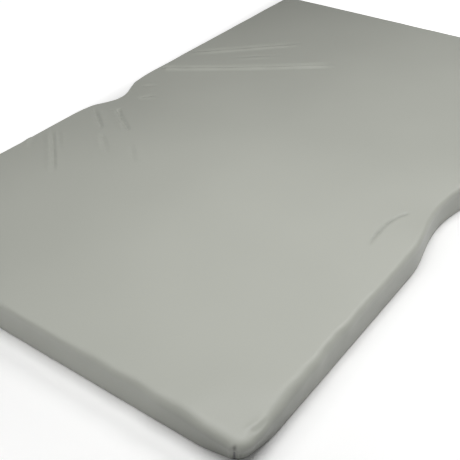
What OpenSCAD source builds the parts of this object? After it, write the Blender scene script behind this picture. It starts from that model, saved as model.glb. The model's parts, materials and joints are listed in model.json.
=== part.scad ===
// Pressure relief mattress: foam layers in a zipped waterproof cover that folds in half.
// +Y runs from the head end to the foot end, +X across, +Z up. The origin is the middle of the base.

/* [Mattress] */
// Width across the bed
mattress_w = 1200; // [900:10:1400]
// Length from head end to foot end
mattress_l = 2000; // [1850:10:2200]
// Thickness with its cover on
mattress_t = 85; // [75:1:120]
// Radius of the four corners in plan
corner_r = 30; // [25:1:60]
// Radius of the rolled top edge
edge_r = 20; // [10:1:22]

/* [Fold] */
// Distance from the head end to the fold
head_l = 935; // [800:5:1100]
// How far each long side is pulled in at the fold
waist_depth = 30; // [0:1:60]
// Length over which a long side is pulled in, on each side of the fold
waist_reach = 200; // [100:10:300]

/* [Cover and foam] */
// Thickness of the coated cover cloth
cloth_t = 1; // [0.8:0.1:1.5]
// Thickness of the inner sleeve
sleeve_t = 0.8; // [0.6:0.1:1]
// Height of the joint between the two foam layers
foam_joint_z = 41; // [38:1:50]
// Width of a foam cell
cell_w = 90; // [60:5:150]
// Depth of the cuts between foam cells
cell_cut_depth = 16; // [5:1:25]
// Width of the cuts between foam cells
cell_cut_w = 6; // [4:1:10]
// Uncut border round the foam cells
cell_border = 80; // [60:5:150]

/* [Zip] */
// Length of the zip tapes
zip_l = 1120; // [700:10:1120]
// Height of the middle of the zip above the base
zip_z = 24; // [24:1:26]
// Depth of the recess that the zip lies in
zip_recess = 10; // [10:0.5:14]
// Width of one zip tape
tape_w = 13.4; // [12:0.2:14]
// Distance from the zip's end to the parked slider
slider_park = 30; // [25:1:60]
// Distance from the zip's end to the flap's edge, where the slider parks
flap_stop = 90; // [80:5:150]
// Length of the pull tab
pull_l = 27; // [20:1:32]

/* [Hidden] */
$fn = 48;

FOOT = 1;
HEAD = -1;

fold_y = head_l - mattress_l / 2;
foot_y = mattress_l / 2;
fold_gap = 0.5;      // from the fold plane to either half
past = 5;            // how far a cutter runs past what it cuts
waist_steps = 8;
corner_step = 10;
roll_steps = 5;

// Gaps and insets, from the outside in
tape_gap = 0.4;
seam_tape_t = 0.3;
seam_tape_angle = 24;
sleeve_inset = cloth_t + tape_gap + seam_tape_t + 0.2;
foam_inset = sleeve_inset + sleeve_t + 0.2;
sleeve_top_z = mattress_t - cloth_t - 0.3;
foam_top_z = sleeve_top_z - sleeve_t - 0.2;
sleeve_base_z = cloth_t + 0.2;
foam_base_z = sleeve_base_z + sleeve_t + 0.2;

// The zip's layers, measured along Y
recess_half_w = zip_l / 2 + 6;
recess_top_z = zip_z + 15;
tape_y = foot_y - zip_recess;
tape_t = 0.6;
coil_t = 2.6;
coil_w = 3;
coil_gap = 1.2;      // between the two coils, for the slider's web
coil_l = zip_l - 16;
coil_y = tape_y + tape_t;
slider_gap = 0.4;
slider_l = 14;
slider_plate_t = 1.2;
slider_web_t = 0.8;
front_plate_y = coil_y + coil_t + slider_gap;
back_plate_y = tape_y - slider_gap - slider_plate_t;
slider_x = zip_l / 2 - slider_park;
crown_y = front_plate_y + slider_plate_t + 2.2;
crown_t = 1;
crown_w = 3;
crown_reach = 4.2;
pull_y = front_plate_y + slider_plate_t + 1.1;
pull_t = 1.4;
pull_w = 9;
pull_bar_r = 0.7;
pull_arm_w = 1.5;
pull_eye_l = 7;
flap_t = 0.8;
flap_hinge_z = recess_top_z - 0.9;
flap_drop = 29;
flap_x = [-zip_l / 2 - 4, zip_l / 2 - flap_stop];
behind_zip_y = back_plate_y - 0.5;

cover_grey = [0.60, 0.61, 0.58];
base_grey = [0.36, 0.37, 0.38];
sleeve_white = [0.90, 0.90, 0.87];
memory_cream = [0.93, 0.89, 0.74];
foam_blue = [0.55, 0.68, 0.80];
zip_grey = [0.42, 0.43, 0.43];
slider_metal = [0.70, 0.71, 0.72];

// How far the long side is pulled in at y
function waist(y) =
    let (away = abs(y - fold_y))
    away < waist_reach ? waist_depth * (1 + cos(180 * away / waist_reach)) / 2 : 0;

// The +X side of one half, from the fold to the middle of its end
function half_side(half, inset, gap) =
    let (
        side_x = mattress_w / 2 - inset,
        end_y = half * (mattress_l / 2 - inset),
        r = corner_r - inset
    )
    concat(
        [for (k = [0 : waist_steps])
            let (y = fold_y + half * (k == 0 ? gap : waist_reach * k / waist_steps))
            [side_x - waist(y), y]],
        [for (a = [0 : corner_step : 90])
            [side_x - r * (1 - cos(a)), end_y - half * r * (1 - sin(a))]]
    );

function backwards(list) = [for (k = [len(list) - 1 : -1 : 0]) list[k]];

// Plan outline of one half, counter-clockwise from above
function half_outline(half, inset, gap = fold_gap) =
    let (
        right = half_side(half, inset, gap),
        left = [for (p = backwards(right)) [-p.x, p.y]],
        loop = concat(right, left)
    )
    half == FOOT ? loop : backwards(loop);

// One half as a solid with a rolled top edge. A ring is [inset, height].
module soft_half(half, inset, z0, z1, roll_r, gap = fold_gap) {
    rolled = [for (k = [0 : roll_steps])
        let (a = 90 * k / roll_steps)
        [inset + roll_r * (1 - cos(a)), z1 - roll_r * (1 - sin(a))]];
    rings = concat([[inset, z0]], rolled);
    n = len(half_outline(half, inset, gap));
    points = [for (ring = rings, p = half_outline(half, ring[0], gap)) [p.x, p.y, ring[1]]];
    base_face = [for (i = [0 : n - 1]) i];
    top_face = [for (i = [n - 1 : -1 : 0]) i + n * (len(rings) - 1)];
    side_faces = [for (k = [0 : len(rings) - 2], i = [0 : n - 1])
        let (j = (i + 1) % n)
        [k * n + i, (k + 1) * n + i, (k + 1) * n + j, k * n + j]];
    polyhedron(points = points, faces = concat([base_face, top_face], side_faces));
}

module flat_half(half, inset, z0, z1) {
    translate([0, 0, z0])
        linear_extrude(z1 - z0)
            polygon(half_outline(half, inset));
}

// The space that the zip lies in, at the foot end
module zip_space(back_y, grow) {
    translate([-recess_half_w - grow, back_y, -past])
        cube([2 * (recess_half_w + grow), zip_recess + 2 * past + grow, recess_top_z + grow + past]);
}

// A drawing in X and Z, standing between two values of Y
module standing(y0, y1) {
    translate([0, y1, 0])
        rotate([90, 0, 0])
            linear_extrude(y1 - y0)
                children();
}

module rounded_rectangle(w, h, r) {
    square([w - 2 * r, h], center = true);
    square([w, h - 2 * r], center = true);
    for (x = [-1, 1], y = [-1, 1])
        translate([x * (w / 2 - r), y * (h / 2 - r)])
            circle(r);
}

module cover_top_foot() {
    color(cover_grey)
        difference() {
            soft_half(FOOT, 0, cloth_t, mattress_t, edge_r);
            zip_space(tape_y, 0);
            difference() {
                soft_half(FOOT, cloth_t, -past, mattress_t - cloth_t, edge_r - cloth_t, -past);
                zip_space(tape_y - cloth_t, cloth_t);
            }
            translate([-recess_half_w, tape_y - past, -past])
                cube([2 * recess_half_w, zip_recess, recess_top_z + past]);
        }
}

module cover_top_head() {
    color(cover_grey)
        difference() {
            soft_half(HEAD, 0, cloth_t, mattress_t, edge_r);
            soft_half(HEAD, cloth_t, -past, mattress_t - cloth_t, edge_r - cloth_t, -past);
        }
}

module cover_base_foot() {
    turn_up_z = zip_z - coil_gap / 2 - tape_w;
    color(base_grey) {
        difference() {
            flat_half(FOOT, 0, 0, cloth_t);
            zip_space(tape_y + cloth_t, 0);
        }
        translate([-recess_half_w, tape_y, cloth_t])
            cube([2 * recess_half_w, cloth_t, turn_up_z - cloth_t]);
    }
}

module cover_base_head() {
    color(base_grey)
        flat_half(HEAD, 0, 0, cloth_t);
}

// Strips behind the corner seams
module corner_tapes(half) {
    r = corner_r - cloth_t - tape_gap;
    color(base_grey)
        for (side = [-1, 1])
            translate([side * (mattress_w / 2 - corner_r), half * (mattress_l / 2 - corner_r), 8])
                rotate([0, 0, atan2(half, side) - seam_tape_angle / 2])
                    rotate_extrude(angle = seam_tape_angle)
                        translate([r - seam_tape_t, 0])
                            square([seam_tape_t, mattress_t - edge_r - 10]);
}

module corner_tapes_foot() {
    corner_tapes(FOOT);
}

module corner_tapes_head() {
    corner_tapes(HEAD);
}

// The sleeve's top and walls, open below and at the fold
module sleeve_shell(half, inset, z0, top_z, gap) {
    soft_half(half, inset, z0, top_z, edge_r - inset, gap);
}

module inner_sleeve_foot() {
    wall_z = sleeve_base_z + sleeve_t;
    clear = cloth_t + 0.6;
    color(sleeve_white) {
        difference() {
            sleeve_shell(FOOT, sleeve_inset, wall_z, sleeve_top_z, fold_gap);
            zip_space(behind_zip_y, clear);
            difference() {
                sleeve_shell(FOOT, sleeve_inset + sleeve_t, -past, sleeve_top_z - sleeve_t, -past);
                zip_space(behind_zip_y - sleeve_t, clear + sleeve_t);
            }
        }
        difference() {
            flat_half(FOOT, sleeve_inset, sleeve_base_z, wall_z);
            zip_space(behind_zip_y, clear);
        }
    }
}

module inner_sleeve_head() {
    wall_z = sleeve_base_z + sleeve_t;
    color(sleeve_white) {
        difference() {
            sleeve_shell(HEAD, sleeve_inset, wall_z, sleeve_top_z, fold_gap);
            sleeve_shell(HEAD, sleeve_inset + sleeve_t, -past, sleeve_top_z - sleeve_t, -past);
        }
        flat_half(HEAD, sleeve_inset, sleeve_base_z, wall_z);
    }
}

module memory_foam_foot() {
    color(memory_cream)
        difference() {
            soft_half(FOOT, foam_inset, foam_joint_z + 0.2, foam_top_z, edge_r - foam_inset);
            zip_space(behind_zip_y - sleeve_t - 0.3, cloth_t + sleeve_t + 1);
        }
}

module memory_foam_head() {
    color(memory_cream)
        soft_half(HEAD, foam_inset, foam_joint_z + 0.2, foam_top_z, edge_r - foam_inset);
}

// Cross cuts that part the top of the base foam into cells, between y0 and y1
module cell_cuts(y0, y1) {
    across = mattress_w - 2 * cell_border;
    along = y1 - y0;
    columns = round(across / cell_w);
    rows = round(along / cell_w);
    cut_z = foam_joint_z - cell_cut_depth;
    for (i = [0 : columns])
        translate([-across / 2 + across * i / columns - cell_cut_w / 2, y0 - cell_cut_w / 2, cut_z])
            cube([cell_cut_w, along + cell_cut_w, cell_cut_depth + past]);
    for (j = [0 : rows])
        translate([-across / 2 - cell_cut_w / 2, y0 + along * j / rows - cell_cut_w / 2, cut_z])
            cube([across + cell_cut_w, cell_cut_w, cell_cut_depth + past]);
}

module base_foam_foot() {
    color(foam_blue)
        difference() {
            flat_half(FOOT, foam_inset, foam_base_z, foam_joint_z);
            zip_space(behind_zip_y - sleeve_t - 0.3, cloth_t + sleeve_t + 1);
            cell_cuts(fold_y + cell_w / 2, foot_y - cell_border);
        }
}

module base_foam_head() {
    color(foam_blue)
        difference() {
            flat_half(HEAD, foam_inset, foam_base_z, foam_joint_z);
            cell_cuts(-mattress_l / 2 + cell_border, fold_y - cell_w / 2);
        }
}

module zip_tape(z0) {
    color(zip_grey)
        translate([-zip_l / 2, tape_y, z0])
            cube([zip_l, tape_t, tape_w]);
}

module zip_tape_upper() {
    zip_tape(zip_z + coil_gap / 2);
}

module zip_tape_lower() {
    zip_tape(zip_z - coil_gap / 2 - tape_w);
}

// A coil as a bar with its outer edges cut back
module zip_coil(side) {
    chamfer = 0.7;
    color(zip_grey)
        translate([-coil_l / 2, coil_y, zip_z + side * coil_gap / 2])
            rotate([90, 0, 90])
                linear_extrude(coil_l)
                    polygon([
                        [0, 0],
                        [coil_t - chamfer, 0],
                        [coil_t, side * chamfer],
                        [coil_t, side * (coil_w - chamfer)],
                        [coil_t - chamfer, side * coil_w],
                        [0, side * coil_w],
                    ]);
}

module zip_coil_upper() {
    zip_coil(1);
}

module zip_coil_lower() {
    zip_coil(-1);
}

// A clip across the tapes at each end of the coils
module zip_end_stops() {
    stop_l = 4;
    stop_h = 2 * coil_w + coil_gap + 2;
    color(slider_metal)
        for (side = [-1, 1])
            translate([side * (coil_l / 2 + 0.3 + stop_l / 2), 0, zip_z])
                standing(coil_y, coil_y + 2)
                    rounded_rectangle(stop_l, stop_h, 1);
}

module zip_flap() {
    color(cover_grey)
        translate([flap_x[0], foot_y - flap_t, flap_hinge_z - 0.3 - flap_drop])
            cube([flap_x[1] - flap_x[0], flap_t, flap_drop]);
}

// A plate of the slider, wide where the open coils enter
module slider_plate() {
    nose = 5.2;
    tail = 4;
    r = 1.2;
    polygon([
        [-slider_l / 2, -tail + r], [-slider_l / 2 + r, -tail], [0, -tail],
        [slider_l / 2 - r, -nose], [slider_l / 2, -nose + r],
        [slider_l / 2, nose - r], [slider_l / 2 - r, nose],
        [0, tail], [-slider_l / 2 + r, tail], [-slider_l / 2, tail - r],
    ]);
}

module zip_slider() {
    web_l = 5;
    color(slider_metal)
        translate([slider_x, 0, zip_z]) {
            standing(front_plate_y, front_plate_y + slider_plate_t)
                slider_plate();
            standing(back_plate_y, back_plate_y + slider_plate_t)
                slider_plate();
            translate([slider_l / 2 - web_l, back_plate_y, -slider_web_t / 2])
                cube([web_l, front_plate_y + slider_plate_t - back_plate_y, slider_web_t]);
            for (side = [-1, 1])
                translate([side * crown_reach - crown_t / 2, front_plate_y, -crown_w / 2])
                    cube([crown_t, crown_y + crown_t - front_plate_y, crown_w]);
            translate([-crown_reach, crown_y, -crown_w / 2])
                cube([2 * crown_reach, crown_t, crown_w]);
        }
}

// The tab lies along the zip. Its bar passes under the slider's crown.
module zip_pull_tab() {
    arm_z = pull_w / 2 - pull_arm_w;
    tab_l = pull_l - pull_eye_l;
    hole_r = 1.6;
    tab_r = 2;
    color(slider_metal)
        translate([slider_x, pull_y, zip_z]) {
            translate([0, 0, -pull_w / 2])
                cylinder(r = pull_bar_r, h = pull_w);
            for (side = [0, 1])
                mirror([0, 0, side])
                    translate([-pull_eye_l - tab_r, -pull_t / 2, arm_z])
                        cube([pull_eye_l + tab_r, pull_t, pull_arm_w]);
            translate([-pull_eye_l - tab_l / 2, 0, 0])
                standing(-pull_t / 2, pull_t / 2)
                    difference() {
                        rounded_rectangle(tab_l, pull_w, tab_r);
                        translate([-tab_l / 2 + 4, 0])
                            circle(hole_r);
                    }
        }
}

cover_top_foot();
cover_base_foot();
corner_tapes_foot();
inner_sleeve_foot();
memory_foam_foot();
base_foam_foot();
zip_tape_upper();
zip_tape_lower();
zip_coil_upper();
zip_coil_lower();
zip_end_stops();
zip_flap();
zip_slider();
zip_pull_tab();
cover_top_head();
cover_base_head();
corner_tapes_head();
inner_sleeve_head();
memory_foam_head();
base_foam_head();
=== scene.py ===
"""Pressure relief mattress: its cover, foam layers and zip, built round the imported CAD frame.

Lengths are in metres. The foot end with the zip is at +Y and the head end at -Y. The corner at the
head end on the +X side is called the near corner.
"""

import json
import math

import bmesh
import bpy
import numpy as np
from mathutils import Matrix, Vector


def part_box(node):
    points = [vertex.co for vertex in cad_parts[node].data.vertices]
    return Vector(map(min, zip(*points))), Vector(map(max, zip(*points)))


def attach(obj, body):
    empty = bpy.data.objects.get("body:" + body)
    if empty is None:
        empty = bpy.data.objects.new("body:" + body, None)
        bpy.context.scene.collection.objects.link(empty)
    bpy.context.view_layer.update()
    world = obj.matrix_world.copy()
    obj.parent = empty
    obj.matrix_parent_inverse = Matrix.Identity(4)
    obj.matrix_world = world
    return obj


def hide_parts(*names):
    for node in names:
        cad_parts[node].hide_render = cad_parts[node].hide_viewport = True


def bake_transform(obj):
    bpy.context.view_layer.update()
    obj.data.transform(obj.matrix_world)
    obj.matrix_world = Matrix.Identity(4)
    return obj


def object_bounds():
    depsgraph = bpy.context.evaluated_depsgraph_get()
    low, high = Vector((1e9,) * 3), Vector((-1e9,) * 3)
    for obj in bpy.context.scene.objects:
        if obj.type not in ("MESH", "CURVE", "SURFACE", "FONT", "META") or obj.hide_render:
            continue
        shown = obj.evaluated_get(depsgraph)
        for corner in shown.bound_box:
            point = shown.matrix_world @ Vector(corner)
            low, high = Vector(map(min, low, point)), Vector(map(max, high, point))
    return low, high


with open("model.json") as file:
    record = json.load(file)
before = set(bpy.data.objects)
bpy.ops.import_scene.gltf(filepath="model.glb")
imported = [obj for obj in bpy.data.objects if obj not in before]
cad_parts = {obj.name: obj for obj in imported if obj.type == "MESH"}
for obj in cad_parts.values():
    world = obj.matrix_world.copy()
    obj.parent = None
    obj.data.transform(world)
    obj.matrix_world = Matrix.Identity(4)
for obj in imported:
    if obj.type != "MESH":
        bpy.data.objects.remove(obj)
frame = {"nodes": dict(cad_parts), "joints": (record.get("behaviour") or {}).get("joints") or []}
cad_low, cad_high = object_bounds()

MM = 0.001

# ---------------------------- places taken from the CAD frame
HALF_W = cad_high.x
FOOT_Y = cad_high.y
HEAD_Y = cad_low.y
CAD_TOP = cad_high.z
FOLD_Y = next(joint for joint in frame["joints"] if joint["name"] == "waist_fold")["pos_m"][1]
FOAM_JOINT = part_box("base_foam_head")[1].z
TAPE_LOW, TAPE_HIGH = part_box("zip_tape_upper")
LOWER_TAPE_LOW, LOWER_TAPE_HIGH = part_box("zip_tape_lower")
COIL_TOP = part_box("zip_coil_upper")[1].z
COIL_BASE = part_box("zip_coil_lower")[0].z
FLAP_LOW, FLAP_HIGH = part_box("zip_flap")
ZIP_Y = TAPE_LOW.y

# ---------------------------- the mattress's own sizes, in metres
TOP = CAD_TOP - 0.4 * MM          # height of the border of the top
CORNER_R = 46 * MM                # corners in plan
NEAR_SHARPER = 12 * MM            # the near corner is less round by this much
EDGE_R = 13 * MM                  # rolled top edge away from the near corner
EDGE_FULLER = 15 * MM             # the roll grows by this much towards the near corner
EDGE_REACH = 600 * MM
EDGE_WAVE = 5 * MM                # unevenness of the roll at the near corner
ROLL_DEPTH = EDGE_R + EDGE_FULLER + EDGE_WAVE
TUCK = 13 * MM                    # how far the base of the near corner is tucked in
TUCK_REACH = 120 * MM
BULGE = 12 * MM                   # how far the walls lean out towards the near corner
BULGE_REACH = 360 * MM
DROOP = 14 * MM                   # how far the top sinks at the near corner
DROOP_REACH = 170 * MM
LEFT_DIP = 11 * MM                # how far the edge sinks at the waist
RIGHT_DIP = 6 * MM
FOLD_DIP = 1.4 * MM               # how far the middle sinks along the fold
HOLLOW = 1.8 * MM                 # how far the middle sinks by the foot end's left corner
CROWN = 3.6 * MM                  # how far the rim lies below the middle towards the near corner
RIM_RIPPLE = 2.5 * MM             # the rim rises and falls by this much on the way to the near corner
RIM_WANDER = 6 * MM               # and wanders in and out by this much
SEAM_W = 4 * MM                   # half the width of a corner seam's groove
NEAR_SEAM_W = 5.5 * MM            # and of the near corner's
SEAM_DEPTH = 2.6 * MM
SEAM_LIP = 0.9 * MM               # height of the lips beside a groove
SEAM_LIP_OUT = 9 * MM             # and how far from its middle they are
NEAR_SEAM_TURN = math.radians(17)  # the near corner's seam lies this far round towards the head end
HEM_R = 3 * MM                    # rolled bottom edge
WAIST_REACH = 200 * MM            # the sides are pulled in over this length on each side of the fold
LEFT_EASE = 5 * MM                # the left side's profile has crisper corners than the right side's
RIGHT_EASE = 22 * MM
# Millimetres along y from the fold, and how far the side is pulled in there
LEFT_WAIST = ([-104, -88, -60, -20, 15, 45, 75, 99, 108], [0, 3.5, 15, 28, 30, 23, 10, 1.5, 0])
RIGHT_WAIST = ([-200, -165, -120, -60, 0, 60, 120, 200], [0, 5, 15, 27, 32, 28, 15, 0])
CLOTH = 0.8 * MM                  # thickness of the covers' cloth
HEM_Z = 39 * MM                   # lower edge of the top cover over the zip
ZIP_HALF = 0.562                  # the hem runs level this far from the middle
HEM_TURN = 16 * MM                # and drops to the base over this length
BEND = 100 * MM                   # cloth and foam bend this far on each side of the fold

# How much painted shade darkens the cover, from 0 to 1
SEAM_SHADE = 0.85                 # in the grooves of the corner seams
BORDER_SHADE = 0.10               # on the border
NEAR_SIDE_SHADE = 0.10            # more on the border's +X side
CORNER_SHADE = 0.14               # more on the border at a corner
NEAR_CORNER_SHADE = 0.50          # more on the border at the near corner
CORNER_SHADE_REACH = 300 * MM
VALLEY_DARK = 12 * MM             # a narrow crease this deep gets the full painted shade
NARROW = 5                        # millimetres: a crease up to this wide is narrow

# Spacing of the cover's grid
EDGE_BAND = 55 * MM               # fine this close to the sides and ends
FINE_STEP = 2.6 * MM
CREASE_STEP = 3.6 * MM
PLAIN_STEP = 8 * MM


# ---------------------------- small tools
def smooth(t):
    """0 to 1 with level ends."""
    t = np.clip(t, 0.0, 1.0)
    return t * t * (3 - 2 * t)


def bell(t):
    """1 at 0, falling to 0 at -1 and 1."""
    t = np.clip(np.abs(t), 0.0, 1.0)
    return 0.5 * (1 + np.cos(math.pi * t))


def spaced(start, end, step_at):
    """Grid lines from start to end, where step_at(place) is the wanted spacing."""
    lines = [start]
    while lines[-1] < end:
        lines.append(lines[-1] + step_at(lines[-1]))
    lines = np.array(lines)
    return start + (lines - start) * (end - start) / (lines[-1] - start)


def make_mesh(name, points, faces, uvs=None):
    """A smooth mesh object. uvs holds one (u, v) for each point."""
    mesh = bpy.data.meshes.new(name)
    mesh.from_pydata(np.asarray(points, float).tolist(), [], faces)
    mesh.validate()
    mesh.polygons.foreach_set("use_smooth", [True] * len(mesh.polygons))
    if uvs is not None:
        corner = np.empty(len(mesh.loops), np.int32)
        mesh.loops.foreach_get("vertex_index", corner)
        cloth = mesh.uv_layers.new(name="cloth")
        cloth.data.foreach_set("uv", np.asarray(uvs, np.float32)[corner].ravel())
    mesh.update()
    piece = bpy.data.objects.new(name, mesh)
    bpy.context.scene.collection.objects.link(piece)
    return piece


def thicken(piece, thickness, offset=-1.0):
    """Gives a single sheet its thickness, and applies it."""
    solidify = piece.modifiers.new("thickness", "SOLIDIFY")
    solidify.thickness = thickness
    solidify.offset = offset
    solidify.use_even_offset = False
    apply_modifiers(piece)


def apply_modifiers(piece):
    graph = bpy.context.evaluated_depsgraph_get()
    final = bpy.data.meshes.new_from_object(piece.evaluated_get(graph))
    piece.modifiers.clear()
    old = piece.data
    piece.data = final
    bpy.data.meshes.remove(old)


# ---------------------------- the mattress's shape
def waist(x, y):
    """How far a long side is pulled in at y. The profile's corners are eased over a few millimetres."""
    def pulled_in(profile, ease):
        at, pull = FOLD_Y + MM * np.array(profile[0]), MM * np.array(profile[1])
        spread = ease * np.linspace(-1, 1, 7)
        return sum(np.interp(y + off, at, pull) for off in spread) / len(spread)

    return np.where(x < 0, pulled_in(LEFT_WAIST, LEFT_EASE), pulled_in(RIGHT_WAIST, RIGHT_EASE))


def fullness(x, y):
    """1 at the near corner, -1 at the opposite one."""
    return np.clip(0.5 * x / HALF_W - 0.5 * y / FOOT_Y, -1, 1)


def near_corner_gap(x, y):
    """Distance in plan from the near corner."""
    return np.hypot(HALF_W - x, y + FOOT_Y)


def rounded(points, half_x, half_y, low, top, corner_r, edge_r, hem_r):
    """Bends a sharp-edged box into one with round corners, a rolled top edge and a small rolled base
    edge. Only a wide top roll is uneven and grows towards the near corner."""
    x, y, z = points.T.copy()
    corner_r = corner_r - NEAR_SHARPER * smooth((fullness(x, y) - 0.9) / 0.08)
    if edge_r > 4 * MM:
        near = smooth(1 - near_corner_gap(x, y) / EDGE_REACH)
        edge_r = edge_r + EDGE_FULLER * near + EDGE_WAVE * (0.35 + 0.65 * near) * waves(x, y, 0.16, 6)
    inner_x = np.clip(x, corner_r - half_x, half_x - corner_r)
    inner_y = np.clip(y, corner_r - half_y, half_y - corner_r)
    out_x, out_y = x - inner_x, y - inner_y
    reach = np.maximum(np.abs(out_x), np.abs(out_y))
    length = np.hypot(out_x, out_y)
    safe = np.where(length > 0, length, 1)
    normal_x, normal_y = out_x / safe, out_y / safe
    x = inner_x + normal_x * reach
    y = inner_y + normal_y * reach
    inset = corner_r - reach
    for radius, rise, way in ((edge_r, z - (top - edge_r), -1), (hem_r, (low + hem_r) - z, 1)):
        across = np.maximum(radius - inset, 0)
        rise = np.maximum(rise, 0)
        far = np.hypot(across, rise)
        share = np.where(far > 0, np.maximum(across, rise) / np.where(far > 0, far, 1), 1)
        shift = across * (1 - share)
        x = x - normal_x * shift
        y = y - normal_y * shift
        z = z + way * rise * (1 - share)
    return np.column_stack([x, y, z])


def waves(x, y, size, seed):
    """Smooth unevenness from -1 to 1, with bumps of about that size."""
    total = np.zeros_like(x)
    for k in range(5):
        turn = seed * 1.7 + k * 2.399
        pitch = size * (0.75 + 0.23 * k)
        total += np.sin((x * math.cos(turn) + y * math.sin(turn)) * 2 * math.pi / pitch + seed + 1.3 * k)
    return total / 5


def settle(points):
    """The slow curves that the foam and every cloth round it share: waist, crown, dips, leaning walls."""
    x, y, z = points.T.copy()
    side = np.abs(x) / HALF_W
    end = np.abs(y) / FOOT_Y
    fold = (y - FOLD_Y) / WAIST_REACH
    x = x - np.sign(x) * waist(x, y) * np.minimum(side, 1) ** 3
    edge_dip = np.where(x < 0, LEFT_DIP, RIGHT_DIP) * bell(fold / 0.95) * side ** 5
    middle_dip = FOLD_DIP * bell(fold / 1.3)
    full = 0.5 + 0.5 * fullness(x, y)
    hollow = HOLLOW * (1 - side ** 4) * (1 - end ** 6) * (1 - full)
    crown = CROWN * np.maximum(side ** 6, end ** 10) * full
    uneven = 0.8 * MM * waves(x, y, 0.62, 2) + 0.35 * MM * waves(x, y, 0.15, 7)
    near = smooth(1 - near_corner_gap(x, y) / EDGE_REACH)
    rim = np.maximum(side ** 12 * (x > 0), end ** 20 * (y < 0))
    ripple = RIM_RIPPLE * waves(x, y, 0.10, 11) * rim * near
    drop = edge_dip + middle_dip + hollow + crown + ripple - uneven * (1 - side ** 8)
    z = z * (1 - drop / TOP)
    wall = np.clip(z / TOP, 0, 1)
    lean = 0.9 * MM * waves(y, z, 0.41, 3) * np.sin(math.pi * wall)
    x = x + np.sign(x) * lean * side ** 8
    y = y + np.sign(y) * 0.8 * MM * waves(x, z, 0.37, 4) * np.sin(math.pi * wall) * end ** 8
    from_corner = near_corner_gap(x, y)
    tuck = TUCK * smooth(1 - from_corner / TUCK_REACH) * (1 - wall)
    tuck = tuck - BULGE * smooth(1 - from_corner / BULGE_REACH) * (wall - 0.05)
    tuck = tuck - RIM_WANDER * waves(x, y, 0.09, 12) * smooth(1.2 - from_corner / EDGE_REACH) * wall ** 2
    z = z * (1 - DROOP / TOP * smooth(1 - from_corner / DROOP_REACH))
    x = x - tuck * side ** 8
    y = y + tuck * end ** 8
    return np.column_stack([x, y, z])


# ---------------------------- creases in the cover
def curve_through(first, middle, last, steps=26):
    """Points on the quadratic curve through three points."""
    first, middle, last = (np.array(p, float) for p in (first, middle, last))
    control = 2 * middle - (first + last) / 2
    t = np.linspace(0, 1, steps)[:, None]
    return (1 - t) ** 2 * first + 2 * t * (1 - t) * control + t * t * last


def crease(x, y, path, folds, start=0.15, end=0.3):
    """Height of a group of folds that run side by side along a curve, path, of three (x, y) points.
    A fold is (distance to the left of the curve, height, width) in millimetres. A valley's height is
    negative. start and end are the shares of the length over which the folds fade in and out."""
    line = curve_through(*path)
    reach = MM * max(abs(off) + 3 * wide for off, _, wide in folds)
    low, high = line.min(0) - reach, line.max(0) + reach
    near = np.flatnonzero((x > low[0]) & (x < high[0]) & (y > low[1]) & (y < high[1]))
    px, py = x[near], y[near]
    gap = np.full(len(near), 1e9)
    signed = np.zeros(len(near))
    along = np.zeros(len(near))
    for k in range(len(line) - 1):
        a, d = line[k], line[k + 1] - line[k]
        t = np.clip(((px - a[0]) * d[0] + (py - a[1]) * d[1]) / (d @ d), 0, 1)
        off_x, off_y = px - a[0] - t * d[0], py - a[1] - t * d[1]
        far = np.hypot(off_x, off_y)
        closer = far < gap
        gap = np.where(closer, far, gap)
        signed = np.where(closer, far * np.sign(d[0] * off_y - d[1] * off_x), signed)
        along = np.where(closer, (k + t) / (len(line) - 1), along)
    fade = smooth(along / start) * smooth((1 - along) / end)
    wander = 1 + 0.16 * np.sin(along * 23 + 9 * line[0, 0]) + 0.10 * np.sin(along * 51 + 17 * line[0, 1])
    total = np.zeros_like(x)
    for off, height, wide in folds:
        total[near] += MM * height * np.exp(-(((signed - MM * off) / (MM * wide)) ** 2))
    total[near] *= fade * wander
    return total


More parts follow.
